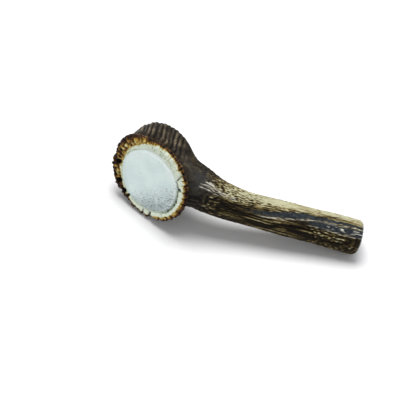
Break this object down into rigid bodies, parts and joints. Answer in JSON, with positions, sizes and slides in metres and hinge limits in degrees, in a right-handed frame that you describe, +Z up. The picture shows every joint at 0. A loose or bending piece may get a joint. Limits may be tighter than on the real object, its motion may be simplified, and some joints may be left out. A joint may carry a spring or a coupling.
{
  "type": "deer antler dog chew",
  "caption": "A piece of shed deer antler for a dog to chew: a lobed burr round a pale flat face, a ribbed crown behind it and a slender grooved shaft sawn off at its end.",
  "frame": {"origin": "middle of the footprint's bounding box, on the surface that the piece lies on", "axes": "+Z up; +X along the shaft from the burr to the sawn end; +Y away from the side that the burr faces"},
  "size_m": [0.161, 0.057, 0.0575],
  "materials": {
    "bark": "semi-gloss dark brown to olive bark with worn cream ridges; pale bluish white burr face"
  },
  "bodies": {
    "root": {"antler": "bark"}
  },
  "joints": []
}
